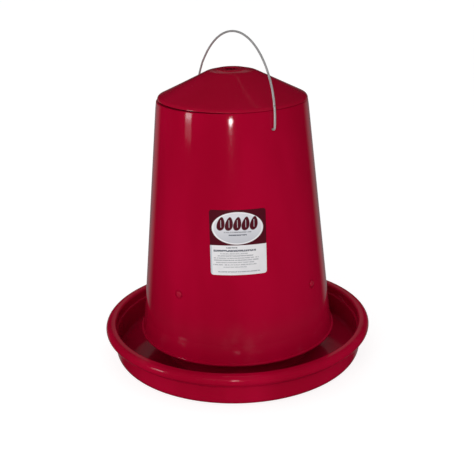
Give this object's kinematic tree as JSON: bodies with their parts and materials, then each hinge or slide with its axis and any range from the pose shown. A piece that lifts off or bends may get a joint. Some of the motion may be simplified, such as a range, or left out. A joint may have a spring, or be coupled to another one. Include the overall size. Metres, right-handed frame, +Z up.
{
  "type": "hanging poultry feeder",
  "caption": "Hanging poultry feeder: tapered plastic hopper with a conical lid and wire bail over a wide rimmed feed pan on an adjustable centre rod.",
  "frame": {"origin": "centre of the pan's resting face, on the floor", "axes": "+Z up along the rod; the label faces -Y; +X to the right seen from the label's side"},
  "size_m": [0.432, 0.432, 0.5164],
  "materials": {
    "red_plastic": "glossy moulded dark crimson",
    "red_nylon": "satin moulded dark crimson",
    "galvanised_steel": "galvanised",
    "bail_wire": "bright galvanised wire",
    "zinc_plate": "zinc plated",
    "label_paper": "coated paper sticker"
  },
  "bodies": {
    "pan": {"feed_pan": "red_plastic", "feed_spreader": "red_plastic", "adjusting_rod": "galvanised_steel", "rod_foot_washer": "zinc_plate", "rod_foot_nut": "zinc_plate", "cone_washer": "zinc_plate", "cone_nut": "zinc_plate"},
    "tub": {"hopper": "red_plastic", "lower_crossbar": "galvanised_steel", "upper_crossbar": "galvanised_steel", "crossbar_screws": "red_nylon", "crossbar_washers": "zinc_plate", "crossbar_nuts": "zinc_plate", "support_washer": "zinc_plate", "top_washer": "zinc_plate", "label": "label_paper"},
    "lower_nut": {"support_nut": "zinc_plate"},
    "top_nut": {"wing_nut": "zinc_plate"},
    "cover": {"lid": "red_plastic"},
    "bail": {"bail_handle": "bail_wire"}
  },
  "joints": [
    {"name": "feed_gap_slide", "type": "slide", "parent": "pan", "child": "tub", "axis": [0, 0, 1], "range_m": [-0.015, 0.012]},
    {"name": "support_nut_turn", "type": "hinge", "parent": "tub", "child": "lower_nut", "pos_m": [0, 0, 0.1229], "axis": [0, 0, 1], "range_deg": [-2710, 2170]},
    {"name": "wing_nut_turn", "type": "hinge", "parent": "tub", "child": "top_nut", "pos_m": [0, 0, 0.139], "axis": [0, 0, 1], "range_deg": [-2710, 2170]},
    {"name": "lid_lift", "type": "slide", "parent": "tub", "child": "cover", "axis": [0, 0, 1], "range_m": [0, 0.008]},
    {"name": "bail_fold", "type": "hinge", "parent": "tub", "child": "bail", "pos_m": [0, 0, 0.39], "axis": [0.4848, -0.8746, 0], "range_deg": [-94, 103]}
  ],
  "couplings": [
    {"joint": "support_nut_turn", "follows": "feed_gap_slide", "rad_per_m": 3141.6},
    {"joint": "wing_nut_turn", "follows": "feed_gap_slide", "rad_per_m": 3141.6}
  ]
}
